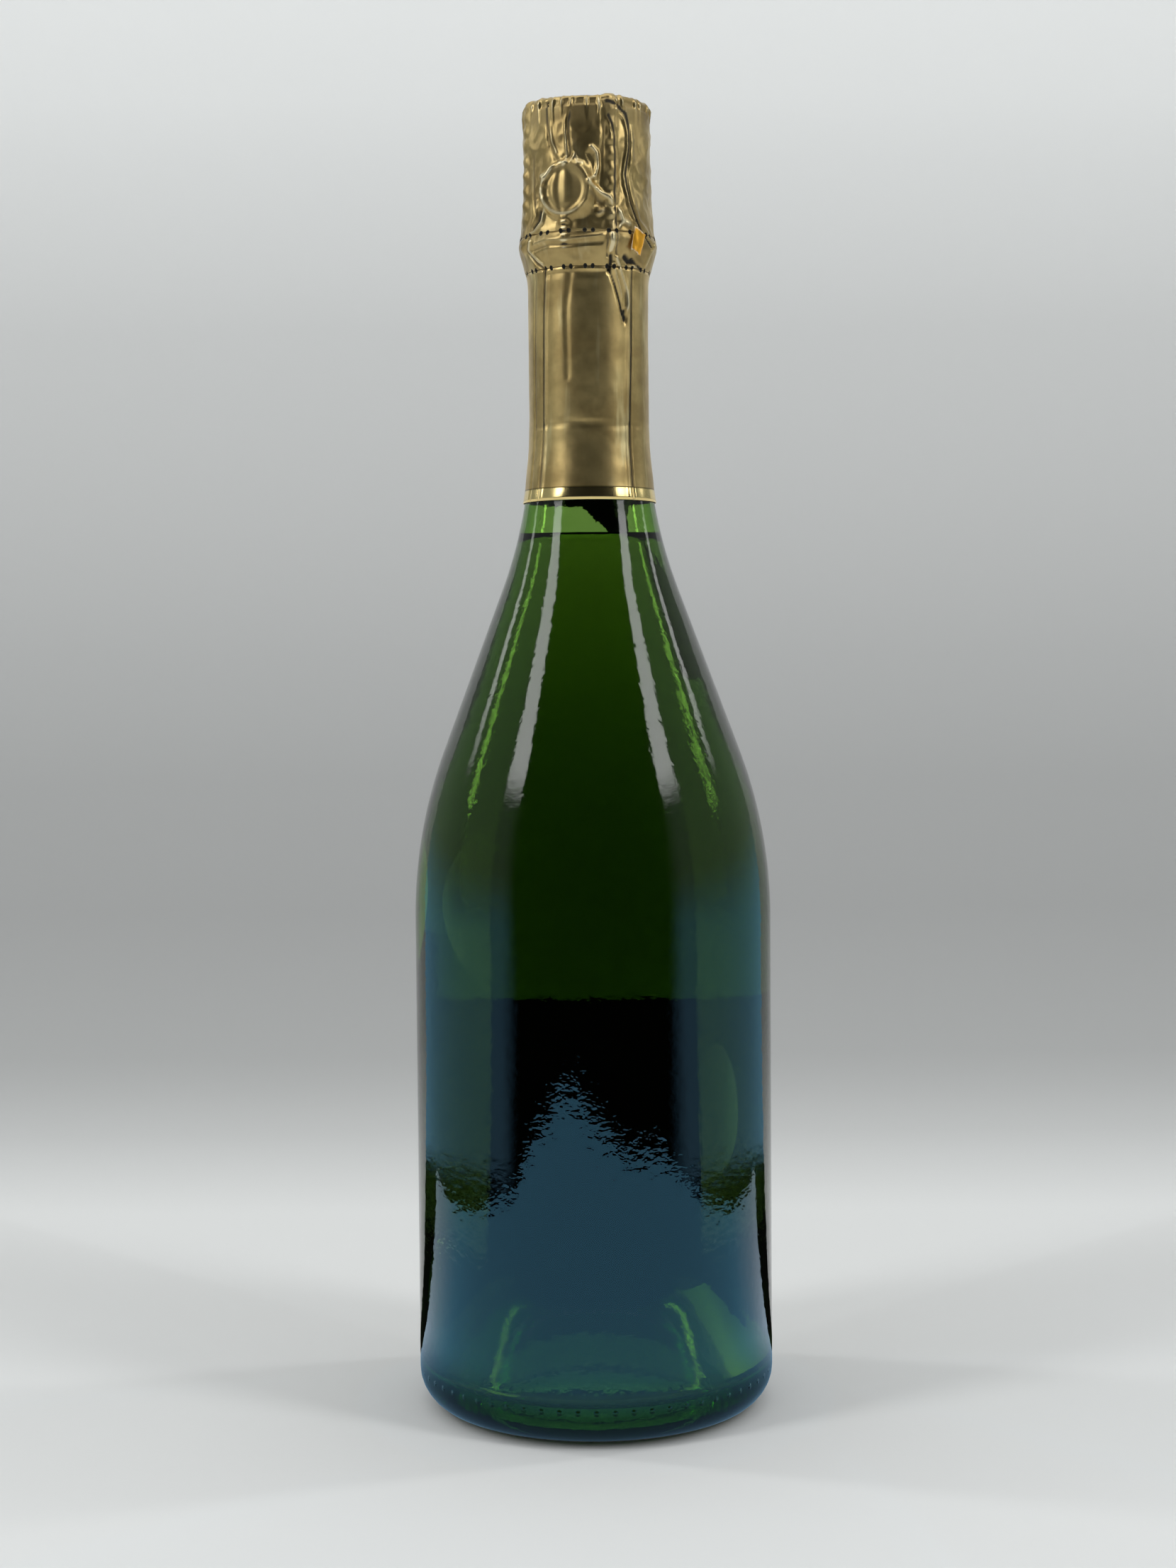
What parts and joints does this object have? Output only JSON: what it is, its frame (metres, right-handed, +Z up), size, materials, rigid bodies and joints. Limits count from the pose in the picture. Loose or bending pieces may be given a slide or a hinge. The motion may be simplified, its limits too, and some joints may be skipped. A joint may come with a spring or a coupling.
{
  "type": "champagne bottle",
  "caption": "Closed sparkling wine bottle with punt, wired mushroom cork and foil capsule; cork, wire cage and foil hood lift off in turn and the pull tab folds out",
  "frame": {"origin": "centre of the base plane that the bottle stands on", "axes": "+Z up along the bottle, -Y the side without a label, +Y the label side"},
  "size_m": [0.0888, 0.089, 0.3228],
  "materials": {
    "green_glass": "dark olive green bottle glass, polished",
    "wine": "clear pale golden wine",
    "natural_cork": "natural cork, matte",
    "pressed_cork": "pressed cork granules, matte",
    "cap_plate": "thin lacquered plate, satin gold",
    "cage_wire": "galvanised soft steel wire",
    "gold_foil": "creased satin gold foil with a bright gold rim",
    "tab_back": "amber lacquered back of the foil",
    "label_paper": "bare dark paper, matte"
  },
  "bodies": {
    "bottle": {"glass_bottle": "green_glass", "wine": "wine", "foil_sleeve": "gold_foil", "foil_tear_band": "gold_foil", "front_label": "label_paper"},
    "cork": {"cork_body": "pressed_cork", "cork_disc_upper": "natural_cork", "cork_disc_lower": "natural_cork"},
    "cage": {"cage_cap": "cap_plate", "cage_crown_ring": "cage_wire", "cage_leg_1": "cage_wire", "cage_leg_2": "cage_wire", "cage_leg_3": "cage_wire", "cage_leg_4": "cage_wire", "cage_belt": "cage_wire"},
    "hood": {"foil_hood": "gold_foil"},
    "tab": {"tear_tab": "tab_back"}
  },
  "joints": [
    {"name": "cork_draw", "type": "slide", "parent": "bottle", "child": "cork", "axis": [0, 0, 1], "range_m": [0, 0.03], "deforming": ["cage_belt", "foil_tear_band"]},
    {"name": "cage_lift", "type": "slide", "parent": "cork", "child": "cage", "axis": [0, 0, 1], "range_m": [0, 0.04], "deforming": ["cage_belt", "foil_tear_band"]},
    {"name": "foil_lift", "type": "slide", "parent": "cage", "child": "hood", "axis": [0, 0, 1], "range_m": [0, 0.036]},
    {"name": "tab_fold", "type": "hinge", "parent": "bottle", "child": "tab", "pos_m": [0.01038, -0.01402, 0.2873], "axis": [0, 0, -1], "range_deg": [0, 110]}
  ]
}
